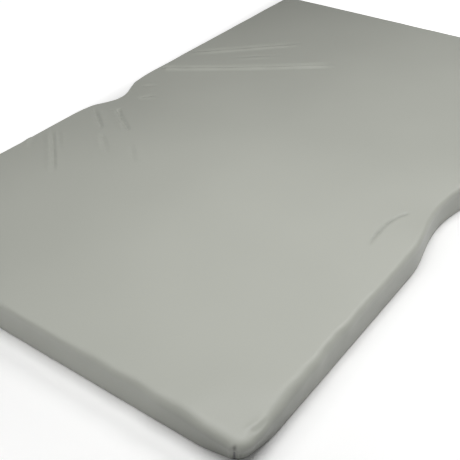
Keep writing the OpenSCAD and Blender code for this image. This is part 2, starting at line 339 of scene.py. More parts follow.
CREASES = [
    # Two long pulls and a faint one between them, on the left of the foot half
    dict(path=[(-0.575, 0.312), (-0.417, 0.468), (-0.268, 0.618)], folds=[(0, 4.6, 10), (19, -3.4, 11)]),
    dict(path=[(-0.575, 0.156), (-0.350, 0.312), (-0.076, 0.520)], folds=[(0, 5.8, 10), (19, -4.4, 11)],
         start=0.05, end=0.10),
    dict(path=[(-0.430, 0.350), (-0.350, 0.422), (-0.275, 0.482)], folds=[(0, 2.2, 9), (17, -1.8, 10)],
         start=0.4, end=0.4),
    # Tension folds that run from the left side of the waist into the head half
    dict(path=[(-0.570, -0.186), (-0.505, -0.232), (-0.440, -0.282)], folds=[(0, -4.6, 7), (13, 1.8, 9)]),
    dict(path=[(-0.515, -0.140), (-0.440, -0.194), (-0.365, -0.242)], folds=[(2, -6.4, 6.5), (-14, 2.4, 9)],
         start=0.1, end=0.25),
    dict(path=[(-0.440, -0.290), (-0.383, -0.334), (-0.315, -0.386)], folds=[(0, -3.6, 8), (-15, 1.8, 10)],
         start=0.3, end=0.4),
    dict(path=[(-0.335, -0.274), (-0.275, -0.330), (-0.215, -0.386)], folds=[(0, -2.2, 9), (15, 1.2, 10)],
         start=0.4, end=0.4),
    dict(path=[(-0.580, -0.358), (-0.479, -0.449), (-0.375, -0.546)],
         folds=[(-13, 2.6, 9), (0, -4.0, 6.5), (12, 1.6, 8)], start=0.2, end=0.25),
    dict(path=[(-0.563, -0.345), (-0.507, -0.396), (-0.445, -0.452)], folds=[(0, -1.6, 6), (11, 1.0, 8)],
         start=0.3, end=0.4),
    dict(path=[(-0.600, -0.430), (-0.577, -0.464), (-0.550, -0.496)], folds=[(0, 2.2, 9), (15, -1.2, 9)],
         start=0.1, end=0.5),
    # Short puckers at the lip of the waist
    dict(path=[(-0.525, -0.060), (-0.500, -0.022), (-0.455, -0.004)], folds=[(0, -3.0, 6.5), (-12, 2.2, 8)],
         start=0.3, end=0.4),
    dict(path=[(-0.560, 0.030), (-0.535, 0.036), (-0.500, 0.060)], folds=[(0, -1.8, 7), (12, 1.2, 8)],
         start=0.3, end=0.4),
    # One curved crease inside the right side of the waist
    dict(path=[(0.537, -0.145), (0.497, -0.232), (0.503, -0.340)], folds=[(0, -3.0, 5)],
         start=0.10, end=0.20),
    # Small puckers by the foot end and the near corner
    dict(path=[(-0.160, 0.960), (-0.115, 0.950), (-0.060, 0.925)], folds=[(0, -1.2, 8), (13, 0.8, 8)],
         start=0.4, end=0.4),
    dict(path=[(0.570, -0.962), (0.578, -0.935), (0.590, -0.900)], folds=[(0, 1.6, 6), (-11, -1.2, 7)],
         start=0.4, end=0.4),
]


def relief(x, y):
    """Height of the cover's creases at each point of the top."""
    return sum(crease(x, y, **one) for one in CREASES)


def narrow_valleys(x, y):
    """Depth of the narrow creases. Little light gets into them, so they are dark."""
    depth = np.zeros_like(x)
    for one in CREASES:
        narrow = [(off, high, wide) for off, high, wide in one["folds"] if high < 0 and wide <= NARROW]
        if narrow:
            depth -= crease(x, y, **{**one, "folds": narrow})
    return depth


# ---------------------------- grids and tubes
def grid_faces(nx, ny, first=0):
    """Faces of a sheet of ny rows of nx points, seen from the side where they turn to the left."""
    corners = [first + j * nx + i for j in range(ny - 1) for i in range(nx - 1)]
    return [(a, a + 1, a + nx + 1, a + nx) for a in corners]


def shell_grid(xs, ys, zs, closed):
    """A box's top, its four walls down through zs, and its base if it is closed.
    Gives the points on the sharp box, the faces and the flat-cloth coordinates."""
    nx, ny = len(xs), len(ys)
    grid_x, grid_y = np.meshgrid(xs, ys)
    points = [np.column_stack([grid_x.ravel(), grid_y.ravel(), np.full(nx * ny, zs[0])])]
    uvs = [np.column_stack([grid_x.ravel(), grid_y.ravel()])]
    faces = grid_faces(nx, ny)
    rim = list(range(nx))
    rim += [j * nx + nx - 1 for j in range(1, ny)]
    rim += [(ny - 1) * nx + i for i in range(nx - 2, -1, -1)]
    rim += [j * nx for j in range(ny - 2, 0, -1)]
    loop = points[0][rim]
    corner_x, corner_y = xs[-1], ys[-1]
    on_x = np.isclose(np.abs(loop[:, 0]), corner_x)
    on_y = np.isclose(np.abs(loop[:, 1]), corner_y)
    above = rim
    count = nx * ny
    for z in zs[1:]:
        ring = loop.copy()
        ring[:, 2] = z
        depth = zs[0] - z
        flat = ring[:, :2].copy()
        flat[:, 0] += np.where(on_x, np.sign(ring[:, 0]) * depth, 0)
        flat[:, 1] += np.where(on_y & ~on_x, np.sign(ring[:, 1]) * depth, 0)
        points.append(ring)
        uvs.append(flat)
        row = list(range(count, count + len(rim)))
        for k in range(len(rim)):
            n = (k + 1) % len(rim)
            faces.append((above[k], row[k], row[n], above[n]))
        above = row
        count += len(rim)
    if closed:
        inner = np.column_stack([grid_x.ravel(), grid_y.ravel(), np.full(nx * ny, zs[-1])])
        place = {rim[k]: above[k] for k in range(len(rim))}
        free = [p for p in range(nx * ny) if p not in place]
        for k, p in enumerate(free):
            place[p] = count + k
        points.append(inner[free])
        uvs.append(inner[free][:, :2])
        faces += [(place[a], place[d], place[c], place[b]) for a, b, c, d in grid_faces(nx, ny)]
    return np.vstack(points), faces, np.vstack(uvs)


def tube_faces(rings, around, first=0):
    """Faces between rings of points that follow each other, and a cap on both ends."""
    faces = []
    for k in range(rings - 1):
        a = first + k * around
        for i in range(around):
            j = (i + 1) % around
            faces.append((a + i, a + j, a + around + j, a + around + i))
    last = first + (rings - 1) * around
    faces.append(tuple(first + i for i in range(around - 1, -1, -1)))
    faces.append(tuple(last + i for i in range(around)))
    return faces


def fine_near_ends(half, edge_step, middle_step, band, along_y=False):
    """Line spacing that is fine within band of either end, and along y also where the fold bends."""
    def step(place):
        if along_y and abs(place - FOLD_Y) < BEND + 8 * MM:
            return 4 * MM
        return edge_step if half - abs(place) < band else middle_step
    return step


# ---------------------------- materials
def shader(name):
    material = bpy.data.materials.new(name)
    material.use_nodes = True
    return material, material.node_tree.nodes, material.node_tree.links


def ramp_node(nodes, links, fac, low, high, low_at=0.0, high_at=1.0):
    ramp = nodes.new("ShaderNodeValToRGB")
    first, last = ramp.color_ramp.elements
    first.position = low_at
    last.position = high_at
    first.color = (*low, 1)
    last.color = (*high, 1)
    links.new(fac, ramp.inputs["Fac"])
    return ramp


def noise_node(nodes, links, vector, scale, detail=3.0):
    texture = nodes.new("ShaderNodeTexNoise")
    texture.inputs["Scale"].default_value = scale
    texture.inputs["Detail"].default_value = detail
    links.new(vector, texture.inputs["Vector"])
    return texture


def combine(nodes, links, kind, a, b):
    node = nodes.new("ShaderNodeMath")
    node.operation = kind
    for socket, value in zip(node.inputs, (a, b)):
        if isinstance(value, (int, float)):
            socket.default_value = value
        else:
            links.new(value, socket)
    return node.outputs[0]


def bump_node(nodes, links, height, strength, distance, target):
    """A bump whose normal goes to the target socket."""
    bump = nodes.new("ShaderNodeBump")
    bump.inputs["Strength"].default_value = strength
    bump.inputs["Distance"].default_value = distance
    links.new(height, bump.inputs["Height"])
    links.new(bump.outputs["Normal"], target)
    return bump


def uneven_roughness(nodes, links, skin, fac, low, high):
    rough = nodes.new("ShaderNodeMapRange")
    rough.inputs["To Min"].default_value = low
    rough.inputs["To Max"].default_value = high
    links.new(fac, rough.inputs["Value"])
    links.new(rough.outputs["Result"], skin.inputs["Roughness"])


def crossed_ribs(nodes, links, vector, ribs, distortion, detail):
    """Height of two sets of ribs that cross. ribs holds the (direction, scale) of each."""
    heights = []
    for direction, scale in ribs:
        rib = nodes.new("ShaderNodeTexWave")
        rib.bands_direction = direction
        rib.inputs["Scale"].default_value = scale
        rib.inputs["Distortion"].default_value = distortion
        rib.inputs["Detail"].default_value = detail
        links.new(vector, rib.inputs["Vector"])
        heights.append(rib.outputs["Fac"])
    return combine(nodes, links, "MULTIPLY", *heights)


def cloth_coordinates(nodes):
    """Position on the flat cloth, in metres."""
    node = nodes.new("ShaderNodeUVMap")
    node.uv_map = "cloth"
    return node.outputs["UV"]


def coated_cloth(name, dark, light, weave, roughness, sheen, coat):
    """Polyurethane-coated knit: a fine two-way texture under a soft skin, slow changes of tone, and painted
    shade.
    """
    material, nodes, links = shader(name)
    skin = nodes["Principled BSDF"]
    skin.inputs["Sheen Weight"].default_value = sheen
    skin.inputs["Sheen Roughness"].default_value = 0.45
    skin.inputs["Coat Weight"].default_value = coat
    skin.inputs["Coat Roughness"].default_value = 0.42
    skin.inputs["Specular IOR Level"].default_value = 0.42
    flat = cloth_coordinates(nodes)
    slow = noise_node(nodes, links, flat, 1.6, 2.0)
    fine = noise_node(nodes, links, flat, 240.0, 2.0)
    mixed = combine(nodes, links, "ADD", combine(nodes, links, "MULTIPLY", slow.outputs["Fac"], 0.8),
                    combine(nodes, links, "MULTIPLY", fine.outputs["Fac"], 0.2))
    tone = ramp_node(nodes, links, mixed, dark, light, 0.30, 0.70)
    # Painted shade: a point attribute mixes the colour towards a darker copy of it.
    painted_shade = nodes.new("ShaderNodeAttribute")
    painted_shade.attribute_name = "painted_shade"
    shade = nodes.new("ShaderNodeMix")
    shade.data_type = "RGBA"
    links.new(painted_shade.outputs["Fac"], shade.inputs["Factor"])
    links.new(tone.outputs["Color"], shade.inputs["A"])
    shade.inputs["B"].default_value = (*[0.30 * c for c in dark], 1)
    links.new(shade.outputs["Result"], skin.inputs["Base Color"])
    uneven_roughness(nodes, links, skin, slow.outputs["Fac"], roughness - 0.05, roughness + 0.07)
    knit = crossed_ribs(nodes, links, flat, (("X", weave), ("Y", weave)), 0.6, 1.0)
    rumple = noise_node(nodes, links, flat, 34.0, 4.0)
    bump = bump_node(nodes, links, rumple.outputs["Fac"], 0.35, 0.9 * MM, skin.inputs["Normal"])
    bump_node(nodes, links, knit, 0.25, 0.12 * MM, bump.inputs["Normal"])
    return material


def foam(name, dark, light, pore, roughness=0.92):
    """Open-cell foam: small pores and slow changes of tone."""
    material, nodes, links = shader(name)
    skin = nodes["Principled BSDF"]
    skin.inputs["Roughness"].default_value = roughness
    skin.inputs["Specular IOR Level"].default_value = 0.2
    place = nodes.new("ShaderNodeTexCoord").outputs["Object"]
    cells = nodes.new("ShaderNodeTexVoronoi")
    cells.inputs["Scale"].default_value = pore
    links.new(place, cells.inputs["Vector"])
    slow = noise_node(nodes, links, place, 9.0, 4.0)
    mixed = combine(nodes, links, "MULTIPLY", cells.outputs["Distance"], slow.outputs["Fac"])
    tone = ramp_node(nodes, links, mixed, dark, light, 0.05, 0.45)
    links.new(tone.outputs["Color"], skin.inputs["Base Color"])
    bump_node(nodes, links, cells.outputs["Distance"], 0.6, 0.6 * MM, skin.inputs["Normal"])
    return material


def woven(name, dark, light, pitch, roughness=0.8):
    """Woven tape or knitted sleeve, on the object's own coordinates."""
    material, nodes, links = shader(name)
    skin = nodes["Principled BSDF"]
    skin.inputs["Roughness"].default_value = roughness
    skin.inputs["Sheen Weight"].default_value = 0.2
    skin.inputs["Sheen Roughness"].default_value = 0.5
    place = nodes.new("ShaderNodeTexCoord").outputs["Object"]
    weave = crossed_ribs(nodes, links, place, (("DIAGONAL", pitch), ("X", 0.7 * pitch)), 0.4, 2.0)
    tone = ramp_node(nodes, links, weave, dark, light)
    links.new(tone.outputs["Color"], skin.inputs["Base Color"])
    bump_node(nodes, links, weave, 0.5, 0.3 * MM, skin.inputs["Normal"])
    return material


def cast_metal(name, dark, light, roughness):
    """Die-cast zinc with a nickel finish, a little worn."""
    material, nodes, links = shader(name)
    skin = nodes["Principled BSDF"]
    skin.inputs["Metallic"].default_value = 1.0
    place = nodes.new("ShaderNodeTexCoord").outputs["Object"]
    grain = noise_node(nodes, links, place, 420.0, 4.0)
    tone = ramp_node(nodes, links, grain.outputs["Fac"], dark, light, 0.35, 0.65)
    links.new(tone.outputs["Color"], skin.inputs["Base Color"])
    uneven_roughness(nodes, links, skin, grain.outputs["Fac"], roughness - 0.08, roughness + 0.12)
    bump_node(nodes, links, grain.outputs["Fac"], 0.15, 0.1 * MM, skin.inputs["Normal"])
    return material


def moulded(name, dark, light, roughness):
    """Nylon or thermoplastic with a faint grain."""
    material, nodes, links = shader(name)
    skin = nodes["Principled BSDF"]
    place = nodes.new("ShaderNodeTexCoord").outputs["Object"]
    grain = noise_node(nodes, links, place, 160.0, 3.0)
    tone = ramp_node(nodes, links, grain.outputs["Fac"], dark, light, 0.3, 0.7)
    links.new(tone.outputs["Color"], skin.inputs["Base Color"])
    skin.inputs["Roughness"].default_value = roughness
    bump_node(nodes, links, grain.outputs["Fac"], 0.1, 0.1 * MM, skin.inputs["Normal"])
    return material


GREY_DARK = (0.405, 0.415, 0.372)
GREY_LIGHT = (0.440, 0.450, 0.404)
cover_cloth = coated_cloth("cover_cloth", GREY_DARK, GREY_LIGHT, 160.0, 0.46, 0.10, 0.10)
base_cloth = coated_cloth("base_cloth", (0.085, 0.092, 0.10), (0.11, 0.118, 0.125), 90.0, 0.6, 0.15, 0.0)
sleeve_knit = woven("sleeve_knit", (0.60, 0.60, 0.56), (0.80, 0.80, 0.75), 220.0)
memory_foam_skin = foam("memory_foam", (0.62, 0.55, 0.34), (0.84, 0.77, 0.54), 420.0)
base_foam_skin = foam("base_foam", (0.16, 0.28, 0.44), (0.27, 0.43, 0.62), 300.0)
tape_weave = woven("zip_tape", (0.10, 0.105, 0.105), (0.19, 0.195, 0.195), 330.0)
coil_nylon = moulded("zip_coil", (0.14, 0.145, 0.145), (0.19, 0.195, 0.195), 0.35)
thread = woven("thread", (0.30, 0.31, 0.28), (0.46, 0.47, 0.43), 600.0)
nickel = cast_metal("zip_metal", (0.52, 0.52, 0.51), (0.68, 0.68, 0.66), 0.30)
seam_tape = moulded("seam_tape", (0.10, 0.10, 0.11), (0.14, 0.14, 0.15), 0.4)


def dress(piece, material):
    """Gives a piece one material, and takes away any other."""
    piece.data.materials.clear()
    piece.data.materials.append(material)


# ---------------------------- the top cover
def hem_height(x):
    """Lower edge of the foot wall: level over the zip, then down to the base by each corner."""
    return HEM_Z * (1 - smooth((np.abs(x) - ZIP_HALF) / HEM_TURN))


def cover_step_x(x):
    """Spacing across the cover: fine at the sides and by the right side's crease."""
    if HALF_W - abs(x) < EDGE_BAND or x > 0.47:
        return FINE_STEP
    return CREASE_STEP if x < -0.03 else PLAIN_STEP


def cover_step_y(y):
    """Spacing along the cover."""
    if FOOT_Y - abs(y) < EDGE_BAND:
        return FINE_STEP
    return CREASE_STEP if -0.58 < y < 0.66 else PLAIN_STEP


def corner_seams(sharp, height):
    """How far each point moves out for the corner seams, its direction, and the grooves' own share, which
    also sets the painted shade in the grooves.
    A seam is a narrow groove between two low lips down the border."""
    beyond_x = np.clip(np.abs(sharp[:, 0]) - (HALF_W - CORNER_R), 0, None)
    beyond_y = np.clip(np.abs(sharp[:, 1]) - (FOOT_Y - CORNER_R), 0, None)
    angle = np.arctan2(beyond_y, beyond_x)
    in_corner = (beyond_x > 0) & (beyond_y > 0)
    near_corner = fullness(sharp[:, 0], sharp[:, 1]) > 0.5
    arc = (angle - math.pi / 4 - NEAR_SEAM_TURN * near_corner) * np.hypot(beyond_x, beyond_y)
    outer = smooth((np.maximum(beyond_x, beyond_y) - 0.55 * CORNER_R) / (0.45 * CORNER_R))
    outer = outer * smooth((TOP - 4 * MM - height) / (12 * MM)) * in_corner
    groove = outer * np.exp(-((arc / np.where(near_corner, NEAR_SEAM_W, SEAM_W)) ** 2))
    lips = outer * np.exp(-(((np.abs(arc) - SEAM_LIP_OUT) / SEAM_W) ** 2))
    push = SEAM_LIP * lips - SEAM_DEPTH * groove
    return push, angle, groove


def painted_border_shade(sharp, height):
    """How much painted shade darkens the border. It is darkest by the near corner."""
    x, y = sharp[:, 0], sharp[:, 1]
    uneven = 3 * MM * waves(x, y, 0.13, 9)
    border = smooth((TOP - 1 * MM - height + uneven) / (27 * MM))
    near_side = smooth((x - HALF_W + 40 * MM) / (30 * MM))
    corner_gap = np.hypot(HALF_W - np.abs(x), FOOT_Y - np.abs(y))
    corner = np.where(fullness(x, y) > 0.5, NEAR_CORNER_SHADE, CORNER_SHADE)
    corner = corner * smooth(1 - corner_gap / CORNER_SHADE_REACH)
    return border * (BORDER_SHADE + NEAR_SIDE_SHADE * near_side + corner)


def make_cover_top():
    xs = spaced(-HALF_W, HALF_W, cover_step_x)
    ys = spaced(HEAD_Y, FOOT_Y, cover_step_y)
    roll_base = TOP - ROLL_DEPTH
    zs = np.concatenate([np.linspace(TOP, roll_base, 15), np.linspace(roll_base, HEM_R, 9)[1:],
                         [2.0 * MM, 1.0 * MM, 0.2 * MM]])
    points, faces, uvs = shell_grid(xs, ys, zs, closed=False)
    sharp = points.copy()
    # Over the zip the wall stops at its hem, and its last rows turn in to the zip tape.
    foot = np.isclose(sharp[:, 1], FOOT_Y)
    depth = (TOP - sharp[:, 2]) / (TOP - zs[-1])
    hem = hem_height(sharp[:, 0])
    wall_share = 0.86
    down = np.clip(depth / wall_share, 0, 1)
    turn_in = np.clip((depth - wall_share) / (1 - wall_share), 0, 1)
    over_zip = foot & (hem > 0)
    points[:, 2] = np.where(over_zip, TOP - down * (TOP - np.maximum(hem, zs[-1])), points[:, 2])
    points = rounded(points, HALF_W, FOOT_Y, 0, TOP, CORNER_R, EDGE_R, HEM_R)
    inward = (FOOT_Y - ZIP_Y) * np.clip(hem / HEM_Z, 0, 1)
    points[:, 1] -= np.where(over_zip, inward * turn_in, 0)
    push, angle, groove = corner_seams(sharp, points[:, 2])
    points[:, 0] += np.sign(sharp[:, 0]) * np.cos(angle) * push
    points[:, 1] += np.sign(sharp[:, 1]) * np.sin(angle) * push
    height = points[:, 2].copy()
    on_top = smooth((height - (TOP - EDGE_R)) / (0.8 * EDGE_R))
    points = settle(points)
    points[:, 2] += relief(sharp[:, 0], sharp[:, 1]) * on_top
    cover = make_mesh("cover_top", points, faces, uvs)
    # Painted shade, kept as a point attribute for the cloth material: in the seam grooves, on the border
    # (most of all by the near corner) and in the narrow creases.
    shades = [SEAM_SHADE * groove, painted_border_shade(sharp, height)]
    shades.append(on_top * narrow_valleys(sharp[:, 0], sharp[:, 1]) / VALLEY_DARK)
    painted_shade = cover.data.attributes.new("painted_shade", "FLOAT", "POINT")
    painted_shade.data.foreach_set("value", np.maximum.reduce(shades).astype(np.float32))
    thicken(cover, CLOTH)
    dress(cover, cover_cloth)
    return cover


cover_top = make_cover_top()
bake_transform(cover_top)
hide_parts("cover_top_foot", "cover_top_head")


# ---------------------------- the base cover
def make_cover_base():
    """The flat underside. At the foot end its edge turns up to meet the lower zip tape."""
    inset = 1.2 * MM
    half_x, half_y = HALF_W - inset, FOOT_Y - inset
    foot = ZIP_Y + CLOTH
    turn_up = LOWER_TAPE_LOW.z + 1.5 * MM
    xs = spaced(-half_x, half_x, fine_near_ends(half_x, 3 * MM, 16 * MM, 40 * MM))
    ys = spaced(-half_y, half_y, fine_near_ends(FOOT_Y, 3 * MM, 16 * MM, 60 * MM, True))
    grid_x, grid_y = np.meshgrid(xs, ys)
    flat = np.column_stack([grid_x.ravel(), grid_y.ravel(), np.full(grid_x.size, 0.2 * MM)])
    # Round corners only: both edges lie far above and below the sheet
    points = rounded(flat, half_x, half_y, -1, 1, CORNER_R, 1 * MM, 1 * MM)
    open_span = 1 - smooth((np.abs(grid_x.ravel()) - ZIP_HALF) / HEM_TURN)
    past = np.maximum(points[:, 1] - foot, 0)
    lift = past / (half_y - foot) * turn_up
    points[:, 1] -= past * open_span
    points[:, 2] += lift * open_span
    points = settle(points)
    faces = [(a, d, c, b) for a, b, c, d in grid_faces(len(xs), len(ys))]
    base = make_mesh("cover_base", points, faces, flat[:, :2])
    # The cloth material's painted shade stays at 0 on the base.
    base.data.attributes.new("painted_shade", "FLOAT", "POINT")
    thicken(base, CLOTH)
    dress(base, base_cloth)
    return base


cover_base = make_cover_base()
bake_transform(cover_base)
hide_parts("cover_base_foot", "cover_base_head")


# ---------------------------- the layers inside
def layer(name, inset, low, top, step, edge_r, material, foot_step):
    """A block of foam, or the sleeve, that keeps to the mattress's own curves. foot_step is (y, z):
    below z the foot wall stays behind y, which leaves room for the zip."""
    half_x, half_y = HALF_W - inset, FOOT_Y - inset
    xs = spaced(-half_x, half_x, fine_near_ends(half_x, 6 * MM, step, 40 * MM))
    ys = spaced(-half_y, half_y, fine_near_ends(half_y, 6 * MM, step, 40 * MM, True))
    count = max(3, int((top - low) / (7 * MM)))
    zs = np.concatenate([np.linspace(top, top - edge_r, 5)[:-1], np.linspace(top - edge_r, low, count)])
    points, faces, uvs = shell_grid(xs, ys, zs, closed=True)
    hem_r = min(3 * MM, edge_r / 2)
    points = rounded(points, half_x, half_y, low, top, CORNER_R - inset, edge_r, hem_r)
    stop_y, stop_z = foot_step
    by_zip = (np.abs(points[:, 0]) < ZIP_HALF + HEM_TURN) & (points[:, 2] < stop_z)
    points[:, 1] = np.where(by_zip, np.minimum(points[:, 1], stop_y), points[:, 1])
    piece = make_mesh(name, settle(points), faces, uvs)
    dress(piece, material)
    return piece


def bend_with_fold(piece, *nodes):
    """Bakes a piece's placement into its mesh, and hides the CAD nodes it stands in for."""
    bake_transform(piece)
    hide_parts(*nodes)


BEHIND_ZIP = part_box("zip_slider")[0].y - 1.2 * MM
SLEEVE_INSET = 3.2 * MM
SLEEVE_TOP = TOP - 8 * MM         # clear of the deepest crease
FOAM_INSET = SLEEVE_INSET + 1.4 * MM
STEP_Z = FOAM_JOINT + 1.5 * MM

inner_sleeve = layer("inner_sleeve", SLEEVE_INSET, 1.6 * MM, SLEEVE_TOP, 18 * MM, 18 * MM, sleeve_knit,
                     (BEHIND_ZIP, STEP_Z))
thicken(inner_sleeve, 0.5 * MM)
bend_with_fold(inner_sleeve, "inner_sleeve_foot", "inner_sleeve_head")

memory_foam = layer("memory_foam", FOAM_INSET, FOAM_JOINT + 0.4 * MM, SLEEVE_TOP - 1.2 * MM, 18 * MM,
                    16 * MM, memory_foam_skin, (BEHIND_ZIP - 1.5 * MM, STEP_Z + 1 * MM))
bend_with_fold(memory_foam, "memory_foam_foot", "memory_foam_head")


def make_base_foam():
    """Base foam with crossed cuts in its top, where the CAD has them. Its faces stay flat-shaded."""
    border, cell, cut_w, cut_depth = 80 * MM, 90 * MM, 6 * MM, 16 * MM
    low = 3.0 * MM
    top = FOAM_JOINT
    half_x, half_y = HALF_W - FOAM_INSET, FOOT_Y - FOAM_INSET
    spans = [(HEAD_Y + border, FOLD_Y - cell / 2), (FOLD_Y + cell / 2, FOOT_Y - border)]
    columns = round((2 * (HALF_W - border)) / cell)
    cuts_x = np.linspace(-(HALF_W - border), HALF_W - border, columns + 1)
    cuts_y = np.concatenate([np.linspace(a, b, round((b - a) / cell) + 1) for a, b in spans])
    lip = 0.4 * MM

    def lines(half, cuts):
        edges = [c + side * (cut_w / 2 + off) for c in cuts for side in (-1, 1) for off in (0, lip)]
        ends = [-half, -half + 8 * MM, -half + 20 * MM, half - 20 * MM, half - 8 * MM, half]
        middles = [(a + b) / 2 for a, b in zip(cuts[:-1], cuts[1:])]
        return np.array(sorted(edges + ends + middles))

    xs, ys = lines(half_x, cuts_x), lines(half_y, cuts_y)
    bend = np.arange(FOLD_Y - BEND, FOLD_Y + BEND, 4 * MM)
    ys = np.array(sorted([*ys, *[y for y in bend if np.min(np.abs(ys - y)) > 1.5 * MM]]))
    zs = np.array([top, top - 10 * MM, top - 22 * MM, low + 5 * MM, low])
    points, faces, uvs = shell_grid(xs, ys, zs, closed=True)
    edge = cut_w / 2 + lip / 2
    in_x = np.any(np.abs(points[:, 0][:, None] - cuts_x) < edge, axis=1)
    in_y = np.any(np.abs(points[:, 1][:, None] - cuts_y) < edge, axis=1)
    inside_x = np.abs(points[:, 0]) < HALF_W - border + edge
    inside_y = np.zeros(len(points), bool)
    for a, b in spans:
        inside_y |= (points[:, 1] > a - edge) & (points[:, 1] < b + edge)
    on_top = np.arange(len(points)) < len(xs) * len(ys)
    cut = on_top & inside_x & inside_y & (in_x | in_y)
    points[cut, 2] -= cut_depth
    deep = points[:, 2].copy()
    points = rounded(points, half_x, half_y, low, top, CORNER_R - FOAM_INSET, 2 * MM, 2 * MM)
    points[cut, 2] = deep[cut]
    by_zip = np.abs(points[:, 0]) < ZIP_HALF + HEM_TURN
    points[:, 1] = np.where(by_zip, np.minimum(points[:, 1], BEHIND_ZIP - 1.5 * MM), points[:, 1])
    piece = make_mesh("base_foam", settle(points), faces, uvs)
    piece.data.polygons.foreach_set("use_smooth", [False] * len(piece.data.polygons))
    dress(piece, base_foam_skin)
    return piece


base_foam = make_base_foam()
bend_with_fold(base_foam, "base_foam_foot", "base_foam_head")


# ---------------------------- the zip
def strip(name, x_low, x_high, profile, step, material, wave=None):
    """A closed profile of (y, z) points swept along X. wave(x) gives a shift in y for each station."""
    xs = spaced(x_low, x_high, lambda _: step)
    profile = np.array(profile, float)
    points = []
    for x in xs:
        shift = wave(x) if wave else 0.0
        points += [(x, y + shift, z) for y, z in profile]
    arc = np.concatenate([[0], np.cumsum(np.hypot(*np.diff(profile, axis=0).T))])
    uvs = [(x, a) for x in xs for a in arc]
    piece = make_mesh(name, points, tube_faces(len(xs), len(profile)), uvs)
    fix = bmesh.new()
    fix.from_mesh(piece.data)
    bmesh.ops.recalc_face_normals(fix, faces=fix.faces)
    fix.to_mesh(piece.data)
    fix.free()
    dress(piece, material)
    return piece


def make_tape(name, node):
    low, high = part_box(node)
    bead = 0.25 * MM
    profile = [
        (low.y, low.z + bead), (low.y + bead, low.z), (high.y - bead, low.z), (high.y, low.z + bead),
        (high.y, (low.z + high.z) / 2), (high.y, high.z - bead), (high.y - bead, high.z),
        (low.y + bead, high.z), (low.y, high.z - bead), (low.y, (low.z + high.z) / 2),
    ]
    piece = strip(name, low.x, high.x, profile, 8 * MM, tape_weave)
    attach(piece, "foot_half")
    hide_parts(node)


def make_coil(name, node):
    """One side of a nylon coil zip: a flattened helix of round wire whose heads face the other side."""
    low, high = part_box(node)
    wire = 0.42 * MM
    pitch = 1.9 * MM
    turns = int((high.x - low.x - 2 * wire) / pitch)
    steps, around = 9, 5
    middle_y, middle_z = (low.y + high.y) / 2, (low.z + high.z) / 2
    reach_y = (high.y - low.y) / 2 - wire
    reach_z = (high.z - low.z) / 2 - wire
    t = np.arange(turns * steps + 1) / steps
    angle = 2 * math.pi * t
    centre = np.column_stack([
        low.x + wire + pitch * (t + 0.16 * np.sin(2 * angle)),
        middle_y + reach_y * np.sin(angle),
        middle_z + reach_z * np.cos(angle),
    ])
    ahead = np.gradient(centre, axis=0)
    ahead /= np.linalg.norm(ahead, axis=1)[:, None]
    out = centre - np.column_stack([centre[:, 0], np.full(len(t), middle_y), np.full(len(t), middle_z)])
    out -= ahead * np.sum(out * ahead, axis=1)[:, None]
    out /= np.linalg.norm(out, axis=1)[:, None]
    sidewise = np.cross(ahead, out)
    turn = 2 * math.pi * np.arange(around) / around
    ring = out[:, None] * np.cos(turn)[:, None] + sidewise[:, None] * np.sin(turn)[:, None]
    points = (centre[:, None] + wire * ring).reshape(-1, 3)
    piece = make_mesh(name, points, tube_faces(len(t), around))
    dress(piece, coil_nylon)
    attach(piece, "foot_half")
    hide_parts(node)


make_tape("upper_zip_tape", "zip_tape_upper")
make_tape("lower_zip_tape", "zip_tape_lower")
make_coil("upper_zip_coil", "zip_coil_upper")
make_coil("lower_zip_coil", "zip_coil_lower")


def make_flap():
    """The storm flap: doubled cloth sewn to the hem, with a turned edge, hanging over the zip."""
    outer, inner = FLAP_HIGH.y, FLAP_LOW.y + 0.1 * MM
    top, low = HEM_Z + 3.5 * MM, FLAP_LOW.z
    bead = 0.7 * MM
    profile = [(outer - 0.2 * MM, top), (outer + 0.25 * MM, top - 1.2 * MM)]
    profile += [(outer + 0.1 * MM, z) for z in np.linspace(top - 4 * MM, low + 7 * MM, 7)]
    profile += [(outer + 0.35 * MM, low + 5.4 * MM), (outer + 0.45 * MM, low + 2.4 * MM)]
    profile += [
        (outer - 0.1 * MM + bead * math.cos(a), low + bead + bead * math.sin(a))
        for a in np.radians([-20, -70, -110, -160])
    ]
    profile += [(inner - 0.1 * MM, low + 3.0 * MM), (inner, low + 6 * MM)]
    profile += [(inner, z) for z in np.linspace(low + 9 * MM, HEM_Z - 4 * MM, 6)]
    profile += [(inner + 0.2 * MM, HEM_Z - 1 * MM), (outer - 0.5 * MM, HEM_Z + 1 * MM)]
    profile.append((outer - 0.6 * MM, top))
    piece = strip("storm_flap", FLAP_LOW.x, FLAP_HIGH.x, profile, 6 * MM, cover_cloth,
                  wave=lambda x: 0.15 * MM * math.sin(x * 23) + 0.1 * MM * math.sin(x * 61))
    # The cloth material's painted shade stays at 0 on the flap.
    piece.data.attributes.new("painted_shade", "FLOAT", "POINT")
    return piece


storm_flap = make_flap()
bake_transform(storm_flap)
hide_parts("zip_flap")


def make_stitches(name, x_low, x_high, rows, pitch):
    """Rows of lockstitch. A row is (y, z). Each stitch is a small spindle of thread."""
    long_r, thin_r = 0.42 * pitch, 0.28 * MM
    rings, around = 5, 5
    shape = []
    for k in range(rings):
        a = math.pi * (k / (rings - 1) - 0.5)
        radius = max(math.cos(a), 0.15) * thin_r
        for i in range(around):
            turn = 2 * math.pi * i / around
            shape.append((long_r * math.sin(a), radius * math.cos(turn), radius * math.sin(turn)))
    shape = np.array(shape)
    points, faces = [], []
    for y, z in rows:
        for c in range(int((x_high - x_low) / pitch)):
            faces += tube_faces(rings, around, len(points) * len(shape))
            points.append(shape + (x_low + (c + 0.5) * pitch, y, z))
    piece = make_mesh(name, np.vstack(points), faces)
    dress(piece, thread)
    return piece


